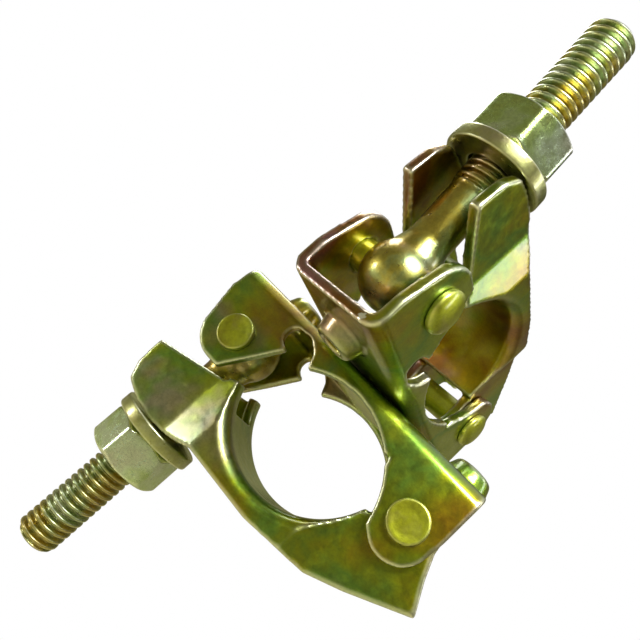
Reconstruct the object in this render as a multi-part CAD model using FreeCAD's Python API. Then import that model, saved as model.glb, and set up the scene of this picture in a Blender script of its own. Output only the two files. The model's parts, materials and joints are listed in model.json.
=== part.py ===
import FreeCAD, Part
import math
import os
from FreeCAD import Placement, Rotation, Vector

os.makedirs("parts", exist_ok=True)

# Swivel scaffold coupler: two clamp halves, back to back on one rivet, each closed by a hinged
# cap and an eye bolt. All lengths are in mm and all angles in degrees.
#
# Each half is drawn in its own frame: x runs from the hinge rivet to the bolt rivet, y along the
# tube, and z from the plane between the halves (z = 0) towards the cap.

# Driving dimensions
tube_r = 24.3                # 48.6 mm scaffold tube
tube_z = 30.0                # height of the tube's centre above the plane between the halves
sheet = 3.2                  # pressed steel sheet
half_width = 15.0            # outer half width of the saddle and of the cap's middle
plane_gap = 0.2              # from the plane between the halves to each saddle's web
hinge_x, bolt_x, pivot_z = -30.5, 36.0, 18.0
rivet_r = 4.5
pivot_hole_r = 4.58          # hole of a piece that turns on a rivet
swivel_r = 7.0
swivel_hole_r = 7.08
swivel_rest = 74.6           # angle between the two halves at rest
bolt_rest = {"lower": 0.0, "upper": 11.0}    # how far each bolt leans outwards at rest
thread_r = 6.35              # half inch bolt
thread_start, bolt_length = 27.0, 78.6       # from the rivet's axis
washer_under, washer_top, nut_top = 33.2, 37.0, 48.5
nut_flats = 22.0
cap_x, cap_z = 2.25, 16.7    # centre of the cap's seat with the empty cap swung fully shut
cap_corner_r = 4.0           # rounded corners of the cap's seat
lug_x = 33.0                 # stop lugs on the web, from the swivel rivet
beyond = 20.0                # past both sides of every piece, for outlines and cuts

inner_half_width = half_width - sheet
ear_gap = 0.3                # between the cap's narrow end and the saddle's ears


def side_face(start, steps, y):
    """Face in the plane y from (x, z) steps: a point ends a line, a pair of points is an arc."""
    edges = []
    here = Vector(start[0], y, start[1])
    for step in steps + [start]:
        curved = isinstance(step[0], tuple)
        end = step[1] if curved else step
        there = Vector(end[0], y, end[1])
        if curved:
            middle = Vector(step[0][0], y, step[0][1])
            edges.append(Part.Arc(here, middle, there).toShape())
        else:
            edges.append(Part.makeLine(here, there))
        here = there
    return Part.Face(Part.Wire(edges))


def side_prism(start, steps, y_from, y_to):
    """The side outline stood up between two planes across the tube."""
    return side_face(start, steps, y_from).extrude(Vector(0, y_to - y_from, 0))


def cross_cylinder(radius, x, z, y_from, y_to):
    """Cylinder along the tube's direction."""
    return Part.makeCylinder(radius, y_to - y_from, Vector(x, y_from, z), Vector(0, 1, 0))


def turned(profile, base, axis):
    """Solid turned about an axis, from (radius, distance along the axis) points."""
    points = [Vector(radius, 0, along) for radius, along in profile]
    face = Part.Face(Part.makePolygon(points + [points[0]]))
    solid = face.revolve(Vector(0, 0, 0), Vector(0, 0, 1), 360)
    solid.Placement = Placement(base, Rotation(Vector(0, 0, 1), axis))
    return solid


def seat_point(radius, degrees):
    """Point (x, z) at an angle around the centre of the cap's seat."""
    turn = math.radians(degrees)
    return (cap_x + radius * math.cos(turn), cap_z + radius * math.sin(turn))


# Saddle

def saddle_channel():
    """Pressed channel before its sides are cut to shape: a web, two bends and two tall sides."""
    bend, floor, top = 4.5, plane_gap, 60.0
    outer = half_width
    x_from, length = -45.0, 100.0
    slant = bend * (1 - math.sqrt(0.5))
    outside = Part.Wire([
        Part.makeLine(Vector(x_from, -outer, top), Vector(x_from, -outer, floor + bend)),
        Part.Arc(Vector(x_from, -outer, floor + bend), Vector(x_from, -outer + slant, floor + slant),
                 Vector(x_from, -outer + bend, floor)).toShape(),
        Part.makeLine(Vector(x_from, -outer + bend, floor), Vector(x_from, outer - bend, floor)),
        Part.Arc(Vector(x_from, outer - bend, floor), Vector(x_from, outer - slant, floor + slant),
                 Vector(x_from, outer, floor + bend)).toShape(),
        Part.makeLine(Vector(x_from, outer, floor + bend), Vector(x_from, outer, top)),
        Part.makeLine(Vector(x_from, outer, top), Vector(x_from, -outer, top)),
    ])
    channel = Part.Face(outside).extrude(Vector(length, 0, 0))
    hollow = Part.makeBox(length, 2 * inner_half_width, top, Vector(x_from, -inner_half_width, floor + sheet))
    inner_edges = [edge for edge in hollow.Edges
                   if edge.BoundBox.XLength > length / 2 and edge.BoundBox.ZMax < floor + sheet + 1]
    return channel.cut(hollow.makeFillet(bend - sheet, inner_edges))


def saddle_outline():
    """Side of the saddle: bolt ears, tooth and tube seat, hinge ears."""
    def seat(x):
        return (x, tube_z - math.sqrt(tube_r ** 2 - x ** 2))
    steps = [
        (48.5, 0), (49, 9.5), (46.3, 21.5), ((43.0, 26.2), (36, 28.2)), (33, 28.2),
        (27.5, 19.5), (22.3, 10.8), ((26.2, 6.6), (24.6, 4.3)), (20, 4), (16.5, 6.5), seat(14.5),
        (seat(0), seat(-15.5)), (-16.3, 8), seat(-17.3), (seat(-21.5), seat(-23.9)),
        (-27.2, 27.9), ((-35.0, 27.3), (-38.7, 21.5)), (-39.3, 15),
    ]
    return side_prism((-39.5, 0), steps, -beyond, beyond)


def saddle_lugs():
    """Pierced and raised lugs on the web's outer face, which stop the swivel."""
    sunk = 0.5               # depth of each lug's foot in the web
    profile = [(0, 0), (6.5, 0), (6.5, 1.6), (5.4, 4.6), (4.6, 5.3), (0, 5.3)]
    return [turned(profile, Vector(x, 0, plane_gap + sunk), Vector(0, 0, -1)) for x in (-lug_x, lug_x)]


def make_saddle(hole_r):
    """One saddle, with holes for its two rivets and for the swivel rivet."""
    lug_hole_r = 3.0
    saddle = saddle_channel().common(saddle_outline())
    for lug in saddle_lugs():
        saddle = saddle.fuse(lug)
    for x in (hinge_x, bolt_x):
        saddle = saddle.cut(cross_cylinder(rivet_r, x, pivot_z, -beyond, beyond))
    for x in (-lug_x, lug_x):
        saddle = saddle.cut(Part.makeCylinder(lug_hole_r, 12, Vector(x, 0, -6)))
    saddle = saddle.cut(Part.makeCylinder(hole_r, 10, Vector(0, 0, -2)))
    return saddle.removeSplitter()


# Cap

def cap_plan(inset):
    """The cap's outline seen along z, narrowed by an inset: narrow ends and a wide middle."""
    horn = inner_half_width - inset
    middle = half_width - inset
    tail = inner_half_width - ear_gap - inset
    corners = [(60, horn), (30, horn), (20, middle), (-14, middle), (-21, tail), (-60, tail)]
    ring = corners + [(x, -y) for x, y in reversed(corners)]
    floor, height = -5, 70
    points = [Vector(x, y, floor) for x, y in ring]
    return Part.Face(Part.makePolygon(points + [points[0]])).extrude(Vector(0, 0, height))


def flange_outline():
    """Side of the cap's flanges: two horns at the bolt, a straight back and the hinge end."""
    reach = 33.0             # the washer rides on this radius about the bolt rivet
    def horn_top(x):
        return (x, pivot_z + math.sqrt(reach ** 2 - (x - bolt_x) ** 2))
    end_r = 9.0
    def hinge_edge(degrees):
        turn = math.radians(degrees)
        return (hinge_x + end_r * math.cos(turn), pivot_z + end_r * math.sin(turn))
    steps = [
        (52, 35), (51.5, 43.5), horn_top(49), (horn_top(36), horn_top(23)), (20, 47), (-3, 47),
        (-12, 45.5), (-21.6, 44.5), (-30.8, 40.1), (-46, 31.5), (-42, 24), hinge_edge(180),
        (hinge_edge(270), hinge_edge(0)), seat_point(tube_r, 165), (0, 30),
    ]
    return side_prism((26.5, 28), steps, -beyond, beyond)


def cap_lips():
    """Edges of the flanges folded inwards along the back of the hinge end."""
    outside = [(-12, 45.5), (-21.6, 44.5), (-30.8, 40.1), (-46, 31.5)]
    inside = [(-44.4, 28.7), (-29.3, 37.3), (-20.9, 41.3), (-11.7, 42.3), (-8, 42.9)]
    return side_prism((-8, 46.2), outside + inside, -beyond, beyond)


def cap_seat():
    """Curved web that presses on the tube, with its two rounded corners."""
    flat = half_width - cap_corner_r
    first, last = 22, 165
    middle = (first + last) / 2
    outer_r = tube_r + sheet
    seat = side_prism(seat_point(tube_r, first), [
        (seat_point(tube_r, middle), seat_point(tube_r, last)), seat_point(outer_r, last),
        (seat_point(outer_r, middle), seat_point(outer_r, first))], -flat, flat)
    for side in (-1, 1):
        outer_arc = Part.Arc(
            Vector(tube_r, side * flat, 0),
            Vector(tube_r + cap_corner_r * (1 - math.sqrt(0.5)), side * (flat + cap_corner_r * math.sqrt(0.5)), 0),
            Vector(tube_r + cap_corner_r, side * half_width, 0)).toShape()
        rim = (tube_r + cap_corner_r, side * half_width)
        inside = [rim, (rim[0], side * inner_half_width), (outer_r, side * inner_half_width),
                  (outer_r, side * flat), (tube_r, side * flat)]
        straight = Part.makePolygon([Vector(r, y, 0) for r, y in inside])
        corner = Part.Face(Part.Wire([outer_arc] + straight.Edges))
        corner = corner.revolve(Vector(0, 0, 0), Vector(0, -1, 0), last - first)
        corner.rotate(Vector(0, 0, 0), Vector(0, -1, 0), first)
        corner.translate(Vector(cap_x, 0, cap_z))
        seat = seat.fuse(corner)
    return seat


def make_cap():
    """One cap: curved seat, two flanges with horns at the bolt and pivot holes at the hinge."""
    lip_width = 8.2          # from the flange's outer face
    slot_x, slot_width = 21, 15
    flanges = flange_outline().common(cap_plan(0).cut(cap_plan(sheet)))
    flanges = flanges.cut(cross_cylinder(tube_r + sheet / 2, cap_x, cap_z, -beyond, beyond))
    for y_from, y_to in ((-beyond, -inner_half_width), (inner_half_width, beyond)):
        flanges = flanges.cut(cross_cylinder(tube_r + cap_corner_r, cap_x, cap_z, y_from, y_to))
    lip_band = cap_plan(0).cut(cap_plan(lip_width))
    cap = cap_seat().common(cap_plan(0)).fuse([flanges, cap_lips().common(lip_band)])
    cap = cap.cut(Part.makeBox(40, slot_width, 60, Vector(slot_x, -slot_width / 2, -5)))
    cap = cap.cut(cross_cylinder(pivot_hole_r, hinge_x, pivot_z, -beyond, beyond))
    return cap.removeSplitter()


# Fasteners. Each is drawn upright and placed by its rivet.

def make_eye_bolt():
    """Eye bolt along z: pierced ball, neck, shank and threaded end."""
    ball_r, ball_flat, shank_r = 9.5, 8.5, 5.7
    end_chamfer = 1.2
    ball = Part.makeSphere(ball_r)
    ball = ball.common(Part.makeBox(30, 2 * ball_flat, 30, Vector(-15, -ball_flat, -15)))
    stem = turned([(0, 0), (shank_r + 1.5, 0), (shank_r + 1.5, 6.2), (shank_r, 11), (shank_r, thread_start),
                   (thread_r, thread_start), (thread_r, bolt_length - end_chamfer),
                   (thread_r - end_chamfer, bolt_length), (0, bolt_length)], Vector(), Vector(0, 0, 1))
    bolt = ball.fuse(stem)
    return bolt.cut(cross_cylinder(pivot_hole_r, 0, 0, -beyond, beyond)).removeSplitter()


def make_washer():
    """Thick washer with eased edges."""
    bore_r, rim_r, ease = 6.9, 13.5, 0.6
    return turned([(bore_r, washer_under), (rim_r - ease, washer_under), (rim_r, washer_under + ease),
                   (rim_r, washer_top - ease), (rim_r - ease, washer_top), (bore_r, washer_top)],
                  Vector(), Vector(0, 0, 1))


def make_nut():
    """Hexagon nut, chamfered on both faces."""
    bore_r = thread_r + 0.08
    corner_r = nut_flats / math.sqrt(3)
    edge_r, drop = nut_flats / 2 - 0.3, 1.0
    corners = [Vector(corner_r * math.cos(math.radians(60 * k)), corner_r * math.sin(math.radians(60 * k)),
                      washer_top) for k in range(7)]
    hexagon = Part.Face(Part.makePolygon(corners)).extrude(Vector(0, 0, nut_top - washer_top))
    envelope = turned([(bore_r, washer_top), (edge_r, washer_top), (corner_r, washer_top + drop),
                       (corner_r, nut_top - drop), (edge_r, nut_top), (bore_r, nut_top)],
                      Vector(), Vector(0, 0, 1))
    return hexagon.common(envelope)


def make_rivet(x):
    """Pivot rivet across the ears: a flat head on one side and a domed head on the other."""
    flat_r, flat_depth = 5.3, 2.0
    dome_r, dome_depth = 5.8, 2.8
    start = -half_width - flat_depth
    profile = [(0, start), (flat_r - 0.5, start), (flat_r, start + 0.5), (flat_r, -half_width),
               (rivet_r, -half_width), (rivet_r, half_width), (dome_r, half_width),
               (dome_r, half_width + 1.1), (dome_r - 0.9, half_width + 2.1),
               (dome_r - 2.8, half_width + dome_depth), (0, half_width + dome_depth)]
    return turned(profile, Vector(x, 0, pivot_z), Vector(0, 1, 0))


def make_swivel_rivet():
    """Rivet that joins the two webs, in the row's frame."""
    head_r, head = 10.5, 2.0
    play = 0.1               # under the head of the half that turns
    lower_web = tube_z - plane_gap - sheet
    upper_web = tube_z + plane_gap + sheet
    profile = [(0, lower_web - head), (head_r - 0.6, lower_web - head), (head_r, lower_web - head + 0.6),
               (head_r, lower_web), (swivel_r, lower_web), (swivel_r, upper_web + play),
               (head_r, upper_web + play), (head_r, upper_web + play + head - 0.6),
               (head_r - 0.6, upper_web + play + head), (0, upper_web + play + head)]
    return turned(profile, Vector(), Vector(0, 0, 1))


# Placing. The row's frame has its origin in the centre of the lower tube seat, with y along
# that tube and z up towards the upper half.

placings = {
    "lower": Placement(Vector(0, 0, tube_z), Rotation(Vector(1, 0, 0), 180)),
    "upper": Placement(Vector(0, 0, tube_z), Rotation(Vector(0, 0, 1), swivel_rest)),
}


def save(shape, name):
    """Write one node and say how it came out."""
    shape.exportStep("parts/" + name + ".step")
    print(name, "valid" if shape.isValid() else "INVALID", len(shape.Solids), round(shape.Volume / 1000, 2), "cm3")


def place(shape, half):
    """A copy of the shape moved from its half's frame to the row's frame."""
    moved = shape.copy()
    moved.Placement = placings[half].multiply(moved.Placement)
    return moved


for half, lean in bolt_rest.items():
    swung = Placement(Vector(bolt_x, 0, pivot_z), Rotation(Vector(0, 1, 0), lean))
    save(place(make_saddle(swivel_r if half == "lower" else swivel_hole_r), half), half + "_saddle")
    save(place(make_cap(), half), half + "_cap")
    save(place(make_rivet(bolt_x), half), half + "_bolt_rivet")
    save(place(make_rivet(hinge_x), half), half + "_hinge_rivet")
    for name, make in (("eye_bolt", make_eye_bolt), ("washer", make_washer), ("nut", make_nut)):
        piece = make()
        piece.Placement = swung.multiply(piece.Placement)
        save(place(piece, half), half + "_" + name)
save(make_swivel_rivet(), "swivel_rivet")
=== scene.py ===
import json
import math
import bmesh
import bpy
from mathutils import Matrix, Vector


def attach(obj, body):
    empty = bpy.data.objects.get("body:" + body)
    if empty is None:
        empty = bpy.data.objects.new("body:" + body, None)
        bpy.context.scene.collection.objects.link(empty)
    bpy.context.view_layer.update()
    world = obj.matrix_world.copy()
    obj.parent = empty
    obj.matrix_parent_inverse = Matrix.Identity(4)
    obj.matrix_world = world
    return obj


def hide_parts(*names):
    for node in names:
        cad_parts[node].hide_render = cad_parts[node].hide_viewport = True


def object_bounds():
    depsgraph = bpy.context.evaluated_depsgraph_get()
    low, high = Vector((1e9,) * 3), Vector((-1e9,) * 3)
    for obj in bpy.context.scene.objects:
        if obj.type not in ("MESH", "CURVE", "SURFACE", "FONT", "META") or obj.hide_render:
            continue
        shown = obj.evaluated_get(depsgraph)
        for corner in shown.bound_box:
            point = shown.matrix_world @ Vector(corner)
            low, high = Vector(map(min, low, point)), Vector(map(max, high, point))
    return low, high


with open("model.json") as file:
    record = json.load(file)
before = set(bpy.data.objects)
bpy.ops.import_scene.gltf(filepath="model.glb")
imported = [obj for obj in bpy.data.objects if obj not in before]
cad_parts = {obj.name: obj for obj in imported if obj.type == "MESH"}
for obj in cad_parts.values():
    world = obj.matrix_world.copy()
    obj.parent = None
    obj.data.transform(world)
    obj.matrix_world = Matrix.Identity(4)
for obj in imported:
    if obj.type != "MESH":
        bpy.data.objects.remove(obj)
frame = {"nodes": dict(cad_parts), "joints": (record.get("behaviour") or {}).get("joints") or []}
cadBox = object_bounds()
mm = 0.001
joints = {joint["name"]: joint for joint in frame["joints"]}
halves = ("lower", "upper")
print("frame loaded:", len(frame["nodes"]), "nodes")


# meshes

def linkMesh(name, mesh):
    obj = bpy.data.objects.new(name, mesh)
    bpy.context.scene.collection.objects.link(obj)
    for face in mesh.polygons:
        face.use_smooth = True
    return obj


def easeCorners(points, radius, steps=4):
    # every inner corner of a profile becomes a short curve
    largestShare = 0.45  # of the shorter side beside a corner
    eased = [points[0]]
    for before, corner, after in zip(points, points[1:], points[2:]):
        a, b, c = Vector(before), Vector(corner), Vector(after)
        reach = min(radius, (a - b).length * largestShare, (c - b).length * largestShare)
        start = b + (a - b).normalized() * reach
        end = b + (c - b).normalized() * reach
        for k in range(steps + 1):
            t = k / steps
            eased.append(tuple(start * (1 - t) ** 2 + b * 2 * t * (1 - t) + end * t ** 2))
    return eased + [points[-1]]


def turnedMesh(name, profile, place, segments=96, radiusAt=None):
    # profile: (radius, height) in mm; radiusAt may change a radius with angle and height
    bm = bmesh.new()
    rings = []
    for radius, height in profile:
        if radius < 1e-4:
            rings.append([bm.verts.new((0, 0, height * mm))])
            continue
        ring = []
        for k in range(segments):
            angle = 2 * math.pi * k / segments
            r = radiusAt(angle, radius, height) if radiusAt else radius
            ring.append(bm.verts.new((r * math.cos(angle) * mm, r * math.sin(angle) * mm, height * mm)))
        rings.append(ring)
    for low, high in zip(rings, rings[1:]):
        for k in range(segments):
            following = (k + 1) % segments
            corners = [low[k % len(low)], low[following % len(low)], high[following % len(high)],
                       high[k % len(high)]]
            distinct = list(dict.fromkeys(corners))
            if len(distinct) > 2:
                bm.faces.new(distinct)
    bmesh.ops.recalc_face_normals(bm, faces=bm.faces)
    mesh = bpy.data.meshes.new(name)
    bm.to_mesh(mesh)
    bm.free()
    mesh.transform(place)
    return linkMesh(name, mesh)


def standing(origin, along, across):
    # a place whose z runs along one direction and whose y is another
    z = Vector(along).normalized()
    x = Vector(across).cross(z).normalized()
    y = z.cross(x)
    turn = Matrix((x, y, z)).transposed().to_4x4()
    return Matrix.Translation(Vector(origin)) @ turn


def weldedCopy(node):
    weldDistance = 0.002 * mm
    bm = bmesh.new()
    bm.from_mesh(frame["nodes"][node].data)
    bmesh.ops.remove_doubles(bm, verts=bm.verts, dist=weldDistance)
    return bm


def softened(name, bm, voxel, rounds):
    # an even skin over the sharp solid, rubbed smooth so that its edges roll over
    mesh = bpy.data.meshes.new(name)
    bm.to_mesh(mesh)
    bm.free()
    rough = bpy.data.objects.new(name + "Rough", mesh)
    bpy.context.scene.collection.objects.link(rough)
    remesh = rough.modifiers.new("skin", "REMESH")
    remesh.mode = "VOXEL"
    remesh.voxel_size = voxel * mm
    rub = rough.modifiers.new("rub", "SMOOTH")
    rub.factor = 0.5
    rub.iterations = rounds
    evaluated = rough.evaluated_get(bpy.context.evaluated_depsgraph_get())
    smooth = bpy.data.meshes.new_from_object(evaluated)
    bpy.data.objects.remove(rough)
    smooth.materials.clear()
    smooth.name = name
    return linkMesh(name, smooth)


def joinInto(main, extra):
    bm = bmesh.new()
    bm.from_mesh(main.data)
    bm.from_mesh(extra.data)
    bm.to_mesh(main.data)
    bm.free()
    bpy.data.objects.remove(extra)
    for face in main.data.polygons:
        face.use_smooth = True
    return main


def settle(piece, node, body, finish):
    slotName, material = finish
    piece.data.materials.append(material)
    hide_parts(node)
    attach(piece, body)


# finishes

def addNode(tree, kind, **values):
    node = tree.nodes.new(kind)
    for key, value in values.items():
        setattr(node, key, value)
    return node


def addNoise(tree, coords, scale, detail=3.0, roughness=0.55, distortion=0.0):
    noise = addNode(tree, "ShaderNodeTexNoise")
    noise.inputs["Scale"].default_value = scale
    noise.inputs["Detail"].default_value = detail
    noise.inputs["Roughness"].default_value = roughness
    noise.inputs["Distortion"].default_value = distortion
    tree.links.new(coords, noise.inputs["Vector"])
    return noise.outputs["Fac"]


def addRamp(tree, value, stops):
    ramp = addNode(tree, "ShaderNodeValToRGB")
    elements = ramp.color_ramp.elements
    while len(elements) < len(stops):
        elements.new(0.5)
    for element, (position, color) in zip(elements, stops):
        element.position = position
        element.color = (*color, 1)
    tree.links.new(value, ramp.inputs["Fac"])
    return ramp.outputs["Color"]


def addMix(tree, blend, factor, a, b):
    mix = addNode(tree, "ShaderNodeMix", data_type="RGBA", blend_type=blend)
    for value, socket in ((factor, mix.inputs[0]), (a, mix.inputs[6]), (b, mix.inputs[7])):
        if isinstance(value, bpy.types.NodeSocket):
            tree.links.new(value, socket)
        elif isinstance(value, tuple):
            socket.default_value = (*value, 1)
        else:
            socket.default_value = value
    return mix.outputs[2]


def addMath(tree, operation, a, b):
    node = addNode(tree, "ShaderNodeMath", operation=operation)
    for value, socket in ((a, node.inputs[0]), (b, node.inputs[1])):
        if isinstance(value, bpy.types.NodeSocket):
            tree.links.new(value, socket)
        else:
            socket.default_value = value
    return node.outputs[0]


def grey(value):
    return (value, value, value)


def warm(value):
    return (value, value * 0.96, value * 0.45)


# the edge stops brighten edges with real wear and a painted highlight; the crease stops and colour darken
# hollows with painted shade
zinc = {"driftScale": 1.3, "driftStops": (0.55, 0.68), "speckleScale": 1400.0, "speckle": (0.86, 1.06),
        "wearHighlightStops": (0.51, 0.56), "creaseShadeStops": (0.43, 0.49), "creaseShadeColor": (0.34, 0.20, 0.07),
        "rubScale": 420.0, "grainScale": 2600.0, "coat": 0.9, "coatRoughness": 0.13, "coatIor": 1.6}


def zincFinish(slotName, look):
    # yellow passivated zinc: patches of film colour over grained steel, brighter on edges from real wear and
    # a painted highlight, darker in hollows from painted shade
    material = bpy.data.materials.new(slotName)
    material.use_nodes = True
    tree = material.node_tree
    shader = tree.nodes["Principled BSDF"]
    coords = addNode(tree, "ShaderNodeTexCoord").outputs["Object"]
    shifted = addNode(tree, "ShaderNodeVectorMath", operation="ADD")
    tree.links.new(coords, shifted.inputs[0])
    shifted.inputs[1].default_value = look["shift"]
    patches = addNoise(tree, shifted.outputs[0], look["patchScale"], 4.0, 0.55, 0.3)
    film = addRamp(tree, patches, look["film"])
    drift = addNoise(tree, shifted.outputs[0], look["patchScale"] * zinc["driftScale"], 3.0, 0.55, 0.3)
    start, full = zinc["driftStops"]
    blush = addRamp(tree, drift, [(start, grey(0.0)), (full, grey(look["blush"]))])
    color = addMix(tree, "MIX", blush, film, look["blushColor"])
    speckle = addNoise(tree, coords, zinc["speckleScale"], 3.0, 0.6)
    dark, bright = zinc["speckle"]
    speckleShade = addRamp(tree, speckle, [(0.35, grey(dark)), (0.62, grey(bright))])
    color = addMix(tree, "MULTIPLY", 1.0, color, speckleShade)
    pointiness = addNode(tree, "ShaderNodeNewGeometry").outputs["Pointiness"]
    # edges are lightened towards a pale colour: partly real wear, partly a painted highlight on the rims
    start, full = zinc["wearHighlightStops"]
    wearAndHighlight = addRamp(tree, pointiness, [(start, grey(0.0)), (full, grey(look["edgeWearAndHighlight"]))])
    color = addMix(tree, "MIX", wearAndHighlight, color, look["edgeWearHighlightColor"])
    # painted shade: hollows and creases are darkened where shade falls
    full, end = zinc["creaseShadeStops"]
    creaseShade = addRamp(tree, pointiness, [(full, grey(look["creaseShade"])), (end, grey(0.0))])
    color = addMix(tree, "MULTIPLY", creaseShade, color, zinc["creaseShadeColor"])
    tree.links.new(color, shader.inputs["Base Color"])
    shader.inputs["Metallic"].default_value = 1.0
    shader.inputs["Coat Weight"].default_value = zinc["coat"]
    shader.inputs["Coat Roughness"].default_value = zinc["coatRoughness"]
    shader.inputs["Coat IOR"].default_value = zinc["coatIor"]
    rub = addNoise(tree, coords, zinc["rubScale"], 3.0, 0.6)
    low, high = look["roughness"]
    tree.links.new(addRamp(tree, rub, [(0.3, grey(low)), (0.7, grey(high))]), shader.inputs["Roughness"])
    grain = addNoise(tree, coords, zinc["grainScale"], 3.0, 0.6)
    dents = addNoise(tree, coords, look["dentScale"], 2.0, 0.5, 0.3)
    height = addMath(tree, "ADD", addMath(tree, "MULTIPLY", grain, look["grain"]),
                     addMath(tree, "MULTIPLY", dents, look["dents"]))
    bump = addNode(tree, "ShaderNodeBump")
    bump.inputs["Strength"].default_value = 1.0
    bump.inputs["Distance"].default_value = 1.0 * mm
    tree.links.new(height, bump.inputs["Height"])
    tree.links.new(bump.outputs["Normal"], shader.inputs["Normal"])
    return slotName, material


# film and blush colours are linear; scales are in waves per metre, dents and grain in mm
# edge strength and colour give real wear plus a painted highlight; the crease value sets the painted shade
# in hollows
sheetLook = {"patchScale": 30.0, "shift": (0.3, 0.1, 0.7), "blush": 0.4, "blushColor": (0.42, 0.22, 0.38),
             "film": [(0.33, (0.22, 0.08, 0.003)), (0.41, (0.34, 0.25, 0.005)), (0.48, (0.27, 0.31, 0.008)),
                      (0.55, (0.15, 0.28, 0.03)), (0.63, (0.30, 0.36, 0.015)), (0.74, (0.40, 0.46, 0.13))],
             "edgeWearAndHighlight": 0.85, "edgeWearHighlightColor": (0.90, 0.88, 0.76), "creaseShade": 0.9,
             "roughness": (0.28, 0.40), "grain": 0.03, "dents": 0.22, "dentScale": 130.0}
rivetLook = dict(sheetLook, patchScale=90.0, blush=0.12, edgeWearAndHighlight=0.2, roughness=(0.36, 0.48), dents=0.12,
                 film=[(0.30, (0.30, 0.29, 0.012)), (0.50, (0.46, 0.49, 0.025)), (0.70, (0.44, 0.52, 0.06))])
forgedLook = dict(sheetLook, patchScale=75.0, blush=0.2, edgeWearAndHighlight=0.2, roughness=(0.26, 0.38),
                  grain=0.05, dents=0.15,
                  film=[(0.34, (0.34, 0.22, 0.02)), (0.48, (0.44, 0.37, 0.06)), (0.58, (0.30, 0.38, 0.16)),
                        (0.70, (0.48, 0.54, 0.34))])
washerLook = dict(forgedLook, patchScale=95.0, edgeWearAndHighlight=0.7,
                  film=[(0.30, (0.26, 0.22, 0.02)), (0.50, (0.38, 0.40, 0.08)), (0.70, (0.50, 0.54, 0.26))])
nutLook = dict(forgedLook, patchScale=70.0, blush=0.15, edgeWearAndHighlight=0.7, roughness=(0.20, 0.30), dents=0.08,
               film=[(0.30, (0.44, 0.46, 0.10)), (0.46, (0.50, 0.66, 0.26)), (0.56, (0.64, 0.76, 0.56)),
                     (0.70, (0.60, 0.62, 0.50))])
zincSheet = zincFinish("zinc_sheet", sheetLook)
zincRivet = zincFinish("zinc_rivet", rivetLook)
zincForged = zincFinish("zinc_forged", forgedLook)
zincWasher = zincFinish("zinc_washer", washerLook)
zincNut = zincFinish("zinc_nut", nutLook)
print("finishes made")


# pressed saddles and caps

pressed = {"voxel": 0.55, "rounds": 7}  # voxel in mm, rounds of rubbing

for half in halves:
    for part in ("saddle", "cap"):
        node = half + "_" + part
        piece = softened(node + "Pressed", weldedCopy(node), pressed["voxel"], pressed["rounds"])
        settle(piece, node, node, zincSheet)
print("pressed pieces made")


# eye bolts

# mm, with heights from the rivet's axis; the thread reaches a little way into the remeshed shank
bolt = {"threadR": 6.33, "depth": 1.25, "pitch": 2.117, "start": 26.5, "end": 78.6, "chamfer": 1.3,
        "crest": 1.35, "flank": 3.2, "rowsPerPitch": 14, "segments": 80, "shankR": 5.7, "overlap": 0.9,
        "voxel": 0.5, "rounds": 10}


def threadRadius(angle, radius, height):
    phase = (height / bolt["pitch"] - angle / (2 * math.pi)) % 1.0
    # flat-sided ridge with a rounded crest and root
    ridge = min(1.0, max(0.0, bolt["crest"] - bolt["flank"] * abs(phase - 0.5)))
    ridge = ridge * ridge * (3 - 2 * ridge)
    runIn = min(1.0, max(0.0, (height - bolt["start"]) / bolt["pitch"]))
    root = bolt["threadR"] - bolt["depth"]
    threaded = root + bolt["depth"] * ridge
    return min(radius, bolt["shankR"] * (1 - runIn) + threaded * runIn)


def threadProfile():
    rows = round((bolt["end"] - bolt["start"]) / bolt["pitch"] * bolt["rowsPerPitch"])
    step = (bolt["end"] - bolt["start"]) / rows
    profile = [(0, bolt["start"])]
    for k in range(rows + 1):
        height = bolt["start"] + k * step
        profile.append((bolt["threadR"] - max(0.0, height - (bolt["end"] - bolt["chamfer"])), height))
    return profile + [(0, bolt["end"])]


for half in halves:
    swing = joints[half + "_bolt_swing"]
    direction = Vector(joints[half + "_washer_slide"]["axis"]).normalized()
    pivot = Vector(swing["pos_m"])
    node = half + "_eye_bolt"
    bm = weldedCopy(node)
    cutAt = pivot + direction * (bolt["start"] + bolt["overlap"]) * mm
    cut = bmesh.ops.bisect_plane(bm, geom=bm.verts[:] + bm.edges[:] + bm.faces[:], plane_co=cutAt,
                                 plane_no=direction, clear_outer=True)
    rimEdges = [item for item in cut["geom_cut"] if isinstance(item, bmesh.types.BMEdge)]
    bmesh.ops.contextual_create(bm, geom=rimEdges)
    eye = softened(node + "Forged", bm, bolt["voxel"], bolt["rounds"])
    place = standing(pivot, direction, swing["axis"])
    thread = turnedMesh(node + "Thread", threadProfile(), place, bolt["segments"], threadRadius)
    settle(joinInto(eye, thread), node, node, zincForged)
print("eye bolts made")


# washers and nuts

washer = {"bore": 6.9, "rim": 13.5, "under": 33.2, "top": 36.96, "ease": 0.6}
nut = {"bore": 6.43, "flats": 22.0, "under": 37.0, "top": 48.5, "face": 10.3, "drop": 1.5, "sink": 0.8,
       "softness": 0.35, "cornerEase": 0.35, "curve": 1.3, "faceRows": 8, "sideRows": 12, "segments": 240}


def washerProfile():
    bore, rim, under, top = washer["bore"], washer["rim"], washer["under"], washer["top"]
    middle = (bore, (under + top) / 2)
    ring = [middle, (bore, under), (rim, under), (rim, top), (bore, top), middle]
    return easeCorners(ring, washer["ease"])


def softMin(a, b, softness):
    spread = max(softness - abs(a - b), 0.0) / softness
    return min(a, b) - spread * spread * softness / 4


def hexagonRadius(angle, radius, height):
    sixth = math.pi / 3
    offset = (angle + sixth / 2) % sixth - sixth / 2
    hexagon = nut["flats"] / 2 / math.cos(offset)
    corner = nut["flats"] / math.sqrt(3) - nut["cornerEase"]
    if radius < nut["face"] - 0.01:  # the bore and its countersinks stay round
        return radius
    return softMin(softMin(hexagon, corner, nut["softness"]), radius, nut["softness"])


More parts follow.
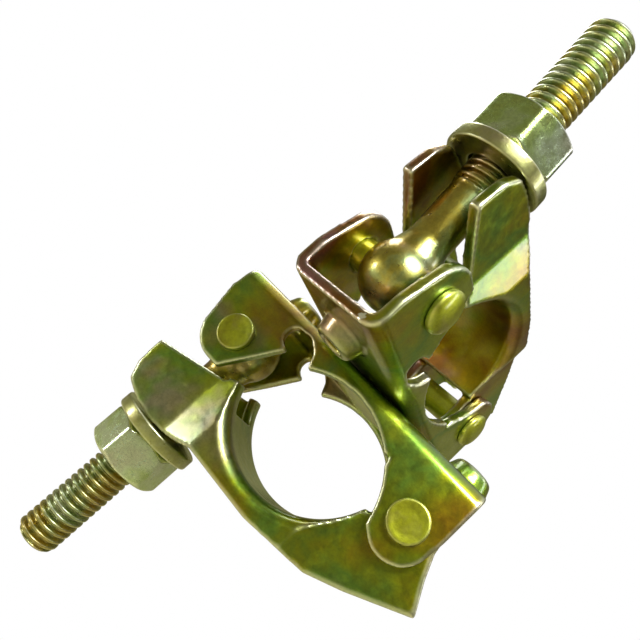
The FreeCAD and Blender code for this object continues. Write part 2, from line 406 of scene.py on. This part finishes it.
def nutProfile():
    corner = nut["flats"] / math.sqrt(3)
    under, top, bore, sink = nut["under"], nut["top"], nut["bore"], nut["sink"]
    face, drop, rows, sides = nut["face"], nut["drop"], nut["faceRows"], nut["sideRows"]

    def chamfer(k):
        # how far out and how far down the chamfer has come after k rows
        return face + (corner - face) * k / rows, drop * (k / rows) ** nut["curve"]

    profile = [(bore, under + sink), (bore + sink, under), (face, under)]
    for k in range(1, rows + 1):
        out, down = chamfer(k)
        profile.append((out, under + down))
    for k in range(1, sides):
        profile.append((corner, under + drop + (top - under - 2 * drop) * k / sides))
    for k in range(rows, 0, -1):
        out, down = chamfer(k)
        profile.append((out, top - down))
    profile += [(face, top), (bore + sink, top), (bore, top - sink)]
    return profile + [profile[0]]


for half in halves:
    swing = joints[half + "_bolt_swing"]
    place = standing(swing["pos_m"], joints[half + "_washer_slide"]["axis"], swing["axis"])
    piece = turnedMesh(half + "_washerTurned", washerProfile(), place)
    settle(piece, half + "_washer", half + "_washer", zincWasher)
    piece = turnedMesh(half + "_nutForged", nutProfile(), place, nut["segments"], hexagonRadius)
    settle(piece, half + "_nut", half + "_nut", zincNut)
print("washers and nuts made")


# rivets

pivotRivet = {"shankR": 4.5, "ear": 15.0, "flatR": 5.3, "flatDepth": 2.0, "domeR": 5.8, "domeDepth": 2.8,
              "dish": 0.25, "dishShare": 0.6, "rimShare": 0.35, "ease": 0.7, "domeRows": 12, "segments": 72}
swivelRivet = {"shankR": 7.0, "headR": 10.5, "head": 2.0, "web": 3.4, "play": 0.1, "ease": 0.9}


def pivotRivetProfile():
    # a slightly dished flat head on one side of the ears, a dome on the other
    ear, flatEnd = pivotRivet["ear"], pivotRivet["ear"] + pivotRivet["flatDepth"]
    flatR, shankR, domeR = pivotRivet["flatR"], pivotRivet["shankR"], pivotRivet["domeR"]
    depth, rim, rows = pivotRivet["domeDepth"], pivotRivet["rimShare"], pivotRivet["domeRows"]
    dishAt = -flatEnd + pivotRivet["dish"]
    outline = [(0, dishAt), (flatR * pivotRivet["dishShare"], dishAt), (flatR, -flatEnd), (flatR, -ear),
               (shankR, -ear), (shankR, ear), (domeR, ear), (domeR, ear + depth * rim)]
    profile = easeCorners(outline, pivotRivet["ease"])
    for k in range(1, rows + 1):
        turn = math.pi / 2 * k / rows
        profile.append((domeR * math.cos(turn), ear + depth * (rim + (1 - rim) * math.sin(turn))))
    return profile


def swivelRivetProfile():
    headR, shankR = swivelRivet["headR"], swivelRivet["shankR"]
    web, outer = swivelRivet["web"], swivelRivet["web"] + swivelRivet["head"]
    lift = swivelRivet["play"]
    outline = [(0, -outer), (headR, -outer), (headR, -web), (shankR, -web), (shankR, web + lift),
               (headR, web + lift), (headR, outer + lift), (0, outer + lift)]
    return easeCorners(outline, swivelRivet["ease"])


for half in halves:
    across = Vector(joints[half + "_bolt_swing"]["axis"])
    for rivet, jointName in (("bolt_rivet", "_bolt_swing"), ("hinge_rivet", "_cap_open")):
        place = standing(joints[half + jointName]["pos_m"], across, (0, 0, 1))
        node = half + "_" + rivet
        piece = turnedMesh(node + "Headed", pivotRivetProfile(), place, pivotRivet["segments"])
        settle(piece, node, half + "_saddle", zincRivet)
place = standing(joints["swivel"]["pos_m"], joints["swivel"]["axis"], (0, 1, 0))
piece = turnedMesh("swivel_rivetHeaded", swivelRivetProfile(), place)
settle(piece, "swivel_rivet", "lower_saddle", zincRivet)
print("rivets made")


# camera, floor and light

view = {"place": (-0.0347, 0.1557, 0.0050), "right": (-0.658, -0.129, 0.742), "up": (0.655, 0.387, 0.649),
        "lens": 31.6, "sensor": 36.0}
forward = Vector(view["up"]).cross(Vector(view["right"])).normalized()
right = Vector(view["right"]).normalized()
up = right.cross(forward).normalized()
cameraData = bpy.data.cameras.new("viewCamera")
cameraData.lens = view["lens"]
cameraData.sensor_width = view["sensor"]
cameraData.clip_start = 0.005
camera = bpy.data.objects.new("viewCamera", cameraData)
bpy.context.scene.collection.objects.link(camera)
camera.matrix_world = Matrix.Translation(Vector(view["place"])) @ Matrix(
    (right, up, -forward)).transposed().to_4x4()
bpy.context.scene.camera = camera

studio = {"floorAt": -0.15, "floorReach": 12.0, "floorColor": (0.50, 0.46, 0.26, 1), "floorRoughness": 0.9,
          "white": (1, 1, 1, 1)}


def plainToCamera(tree, lit, plain, output):
    # the camera sees a plain white where the object is lit by something darker
    shown = addNode(tree, "ShaderNodeMixShader")
    tree.links.new(addNode(tree, "ShaderNodeLightPath").outputs["Is Camera Ray"], shown.inputs[0])
    tree.links.new(lit.outputs[0], shown.inputs[1])
    tree.links.new(plain.outputs[0], shown.inputs[2])
    tree.links.new(shown.outputs[0], output.inputs["Surface"])


bm = bmesh.new()
bmesh.ops.create_grid(bm, x_segments=8, y_segments=8, size=studio["floorReach"])
floorMesh = bpy.data.meshes.new("floor")
bm.to_mesh(floorMesh)
bm.free()
floor = linkMesh("floor", floorMesh)
floor.location.z = studio["floorAt"]
paint = bpy.data.materials.new("floorPaint")
paint.use_nodes = True
tree = paint.node_tree
matte = tree.nodes["Principled BSDF"]
matte.inputs["Base Color"].default_value = studio["floorColor"]
matte.inputs["Roughness"].default_value = studio["floorRoughness"]
glowing = addNode(tree, "ShaderNodeEmission")
glowing.inputs["Color"].default_value = studio["white"]
plainToCamera(tree, matte, glowing, tree.nodes["Material Output"])
floor.data.materials.append(paint)

centre = (cadBox[0] + cadBox[1]) / 2
softboxes = {  # name: (right, up, towards the viewer, metres away, width, height, watts, colour)
    "key": (0.54, 0.50, 0.62, 0.45, 0.22, 0.16, 3.1, (0.98, 1.0, 1.0)),
    "strip": (-0.92, 0.28, 0.20, 0.45, 0.09, 0.34, 1.35, (1.0, 1.0, 1.0)),
    "low": (-0.45, -0.80, 0.35, 0.55, 0.34, 0.10, 0.30, (1.0, 0.92, 0.75)),
    "back": (0.10, 0.80, -0.55, 0.55, 0.45, 0.16, 1.4, (1.0, 1.0, 1.0)),
    "side": (0.95, -0.15, 0.10, 0.50, 0.08, 0.36, 0.5, (1.0, 1.0, 1.0)),
}
for name, (a, b, c, away, width, height, watts, tint) in softboxes.items():
    lightData = bpy.data.lights.new(name, "AREA")
    lightData.shape = "RECTANGLE"
    lightData.size = width
    lightData.size_y = height
    lightData.energy = watts
    lightData.color = tint
    light = bpy.data.objects.new(name, lightData)
    bpy.context.scene.collection.objects.link(light)
    direction = (right * a + up * b - forward * c).normalized()
    light.location = centre + direction * away
    light.rotation_euler = (-direction).to_track_quat("-Z", "Y").to_euler()

# brightness of the surroundings, from straight down to straight up
skyGlow = [(0.0, warm(0.05)), (0.38, warm(0.02)), (0.50, warm(0.07)), (0.58, warm(0.30)),
           (0.66, warm(0.22)), (0.80, warm(0.05)), (1.0, grey(0.9))]
world = bpy.data.worlds.new("studio")
world.use_nodes = True
bpy.context.scene.world = world
tree = world.node_tree
sky = addNode(tree, "ShaderNodeTexCoord").outputs["Generated"]
split = addNode(tree, "ShaderNodeSeparateXYZ")
tree.links.new(sky, split.inputs[0])
heightFac = addMath(tree, "ADD", addMath(tree, "MULTIPLY", split.outputs["Z"], 0.5), 0.5)
glow = addRamp(tree, heightFac, skyGlow)
tree.links.new(glow, tree.nodes["Background"].inputs["Color"])
plain = addNode(tree, "ShaderNodeBackground")
plain.inputs["Color"].default_value = studio["white"]
plainToCamera(tree, tree.nodes["Background"], plain, tree.nodes["World Output"])
bpy.context.scene.view_settings.view_transform = "Standard"
print("camera and light set")
